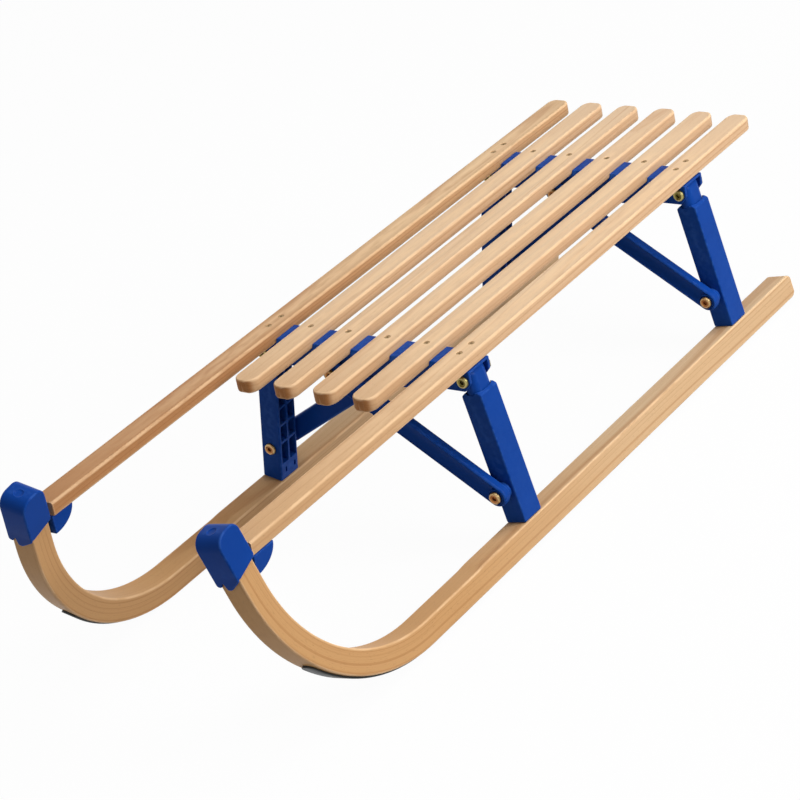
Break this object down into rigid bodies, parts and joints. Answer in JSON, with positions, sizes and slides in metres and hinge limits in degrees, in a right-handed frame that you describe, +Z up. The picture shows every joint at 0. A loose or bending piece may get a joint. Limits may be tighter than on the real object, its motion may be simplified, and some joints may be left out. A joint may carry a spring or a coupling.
{
  "type": "folding sledge",
  "caption": "Folding wooden sledge: a slatted seat on two moulded beams, with upswept runners hinged at each side on splayed legs and held open by crossing struts.",
  "frame": {"origin": "centre of the bounding box in plan, at ground level", "axes": "+X forward to the horns, +Y to the rider's left, +Z up"},
  "size_m": [1.1088, 0.3888, 0.2741],
  "materials": {
    "beech": "clear satin varnish over pale beech",
    "blue_plastic": "satin royal-blue moulding",
    "yellow_zinc": "yellow zinc plating",
    "brown_zinc": "bronze-coloured zinc plating",
    "dark_steel": "dark grey strip steel"
  },
  "bodies": {
    "seat": {"front_beam": "blue_plastic", "rear_beam": "blue_plastic", "inner_slat_1": "beech", "inner_slat_2": "beech", "inner_slat_3": "beech", "inner_slat_4": "beech", "outer_rail_left": "beech", "outer_rail_right": "beech", "slat_screw_front_1": "brown_zinc", "slat_screw_front_2": "brown_zinc", "slat_screw_front_3": "brown_zinc", "slat_screw_front_4": "brown_zinc", "slat_screw_rear_1": "brown_zinc", "slat_screw_rear_2": "brown_zinc", "slat_screw_rear_3": "brown_zinc", "slat_screw_rear_4": "brown_zinc", "rail_screw_front_left_ahead": "brown_zinc", "rail_screw_front_left_behind": "brown_zinc", "rail_screw_front_right_ahead": "brown_zinc", "rail_screw_front_right_behind": "brown_zinc", "rail_screw_rear_left_ahead": "brown_zinc", "rail_screw_rear_left_behind": "brown_zinc", "rail_screw_rear_right_ahead": "brown_zinc", "rail_screw_rear_right_behind": "brown_zinc", "hinge_bolt_front_left": "yellow_zinc", "hinge_bolt_front_right": "yellow_zinc", "hinge_bolt_rear_left": "yellow_zinc", "hinge_bolt_rear_right": "yellow_zinc", "pivot_block_left": "blue_plastic", "pivot_block_screw_left": "brown_zinc", "horn_pivot_pin_left": "yellow_zinc", "pivot_block_right": "blue_plastic", "pivot_block_screw_right": "brown_zinc", "horn_pivot_pin_right": "yellow_zinc"},
    "left_side": {"runner_left": "beech", "steel_strip_left": "dark_steel", "horn_cap_left": "blue_plastic", "front_leg_left": "blue_plastic", "rear_leg_left": "blue_plastic", "leg_screw_front_left": "brown_zinc", "leg_screw_rear_left": "brown_zinc", "strut_bolt_lower_front_left": "yellow_zinc", "strut_bolt_lower_rear_left": "yellow_zinc"},
    "right_side": {"runner_right": "beech", "steel_strip_right": "dark_steel", "horn_cap_right": "blue_plastic", "front_leg_right": "blue_plastic", "rear_leg_right": "blue_plastic", "leg_screw_front_right": "brown_zinc", "leg_screw_rear_right": "brown_zinc", "strut_bolt_lower_front_right": "yellow_zinc", "strut_bolt_lower_rear_right": "yellow_zinc"},
    "front_left_strut": {"front_strut_left": "blue_plastic", "strut_bolt_upper_front_left": "yellow_zinc"},
    "rear_left_strut": {"rear_strut_left": "blue_plastic", "strut_bolt_upper_rear_left": "yellow_zinc"},
    "front_right_strut": {"front_strut_right": "blue_plastic", "strut_bolt_upper_front_right": "yellow_zinc"},
    "rear_right_strut": {"rear_strut_right": "blue_plastic", "strut_bolt_upper_rear_right": "yellow_zinc"}
  },
  "joints": [
    {"name": "left_fold", "type": "hinge", "parent": "seat", "child": "left_side", "pos_m": [0.08794, 0.141, 0.21299], "axis": [1, 0, 0], "range_deg": [0, 64]},
    {"name": "right_fold", "type": "hinge", "parent": "seat", "child": "right_side", "pos_m": [0.08794, -0.141, 0.21299], "axis": [-1, 0, 0], "range_deg": [0, 64]},
    {"name": "front_left_strut_swing", "type": "hinge", "parent": "left_side", "child": "front_left_strut", "pos_m": [0.09134, 0.16651, 0.07665], "axis": [1, 0, 0], "range_deg": [-38.39, 0]},
    {"name": "rear_left_strut_swing", "type": "hinge", "parent": "left_side", "child": "rear_left_strut", "pos_m": [-0.39662, 0.16651, 0.07665], "axis": [1, 0, 0], "range_deg": [-38.39, 0]},
    {"name": "front_right_strut_swing", "type": "hinge", "parent": "right_side", "child": "front_right_strut", "pos_m": [0.09134, -0.16651, 0.07665], "axis": [-1, 0, 0], "range_deg": [-38.39, 0]},
    {"name": "rear_right_strut_swing", "type": "hinge", "parent": "right_side", "child": "rear_right_strut", "pos_m": [-0.39662, -0.16651, 0.07665], "axis": [-1, 0, 0], "range_deg": [-38.39, 0]}
  ],
  "couplings": [
    {"joint": "front_left_strut_swing", "follows": "left_fold", "ratio": -0.59835},
    {"joint": "rear_left_strut_swing", "follows": "left_fold", "ratio": -0.59835},
    {"joint": "front_right_strut_swing", "follows": "right_fold", "ratio": -0.59835},
    {"joint": "rear_right_strut_swing", "follows": "right_fold", "ratio": -0.59835}
  ]
}
